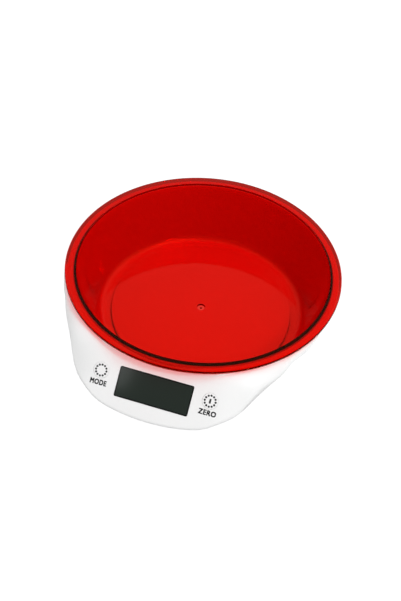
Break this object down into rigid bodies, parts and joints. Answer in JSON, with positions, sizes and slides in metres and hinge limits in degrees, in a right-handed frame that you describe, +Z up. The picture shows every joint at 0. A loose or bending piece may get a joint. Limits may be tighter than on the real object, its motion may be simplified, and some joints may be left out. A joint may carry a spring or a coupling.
{
  "type": "digital kitchen scale",
  "caption": "Low kitchen scale: a round white housing with a sloping display and button panel, and a clear red mixing bowl that nests in it and lifts off.",
  "frame": {"origin": "middle of the whole outline, on the table that the feet stand on", "axes": "+Z up, +Y from the display panel at the front towards the back, +X to the right when facing the display"},
  "size_m": [0.192, 0.2116, 0.066],
  "materials": {
    "bowl_red": "clear red, glossy",
    "housing_white": "glossy",
    "button_white": "glossy",
    "window_dark": "glossy",
    "lcd": "satin",
    "frame_plastic": "matte",
    "zebra_rubber": "matte",
    "board_green": "satin",
    "epoxy_black": "glossy",
    "switch_black": "matte",
    "plated_steel": "satin",
    "screw_steel": "satin",
    "cell_aluminium": "satin",
    "sealant": "satin",
    "battery_can": "glossy",
    "contact_plate": "glossy",
    "foot_rubber": "matte",
    "cable_sleeve": "satin"
  },
  "bodies": {
    "housing": {"upper_housing": "housing_white", "lower_housing": "housing_white", "housing_screws": "screw_steel", "display_window": "window_dark", "lcd_glass": "lcd", "lcd_frame": "frame_plastic", "zebra_strips": "zebra_rubber", "main_board": "board_green", "board_chip": "epoxy_black", "board_screws": "screw_steel", "switch_bodies": "switch_black", "load_cell": "cell_aluminium", "gauge_coating": "sealant", "cell_bolts": "screw_steel", "batteries": "battery_can", "battery_contacts": "contact_plate", "battery_springs": "contact_plate", "rubber_feet": "foot_rubber", "cell_cable": "cable_sleeve", "battery_cable": "cable_sleeve"},
    "platform": {"platform_cover": "housing_white", "load_spider": "plated_steel", "spider_screws": "screw_steel"},
    "bowl": {"bowl": "bowl_red"},
    "unit_button": {"unit_button": "button_white", "unit_plunger": "switch_black"},
    "tare_button": {"tare_button": "button_white", "tare_plunger": "switch_black"},
    "battery_door": {"battery_door": "housing_white"}
  },
  "joints": [
    {"name": "weigh_travel", "type": "slide", "parent": "housing", "child": "platform", "axis": [0, 0, -1], "range_m": [0, 0.0008], "stiffness_N_per_m": 61000, "deforming": ["load_cell", "gauge_coating"]},
    {"name": "bowl_lift", "type": "slide", "parent": "platform", "child": "bowl", "axis": [0, 0, 1], "range_m": [0, 0.08]},
    {"name": "unit_press", "type": "slide", "parent": "housing", "child": "unit_button", "axis": [0, 0.7071, -0.7071], "range_m": [0, 0.0004], "stiffness_N_per_m": 4000},
    {"name": "tare_press", "type": "slide", "parent": "housing", "child": "tare_button", "axis": [0, 0.7071, -0.7071], "range_m": [0, 0.0004], "stiffness_N_per_m": 4000},
    {"name": "battery_door_swing", "type": "hinge", "parent": "housing", "child": "battery_door", "pos_m": [0, 0.03334, 0.003], "axis": [-1, 0, 0], "range_deg": [0, 80]}
  ]
}
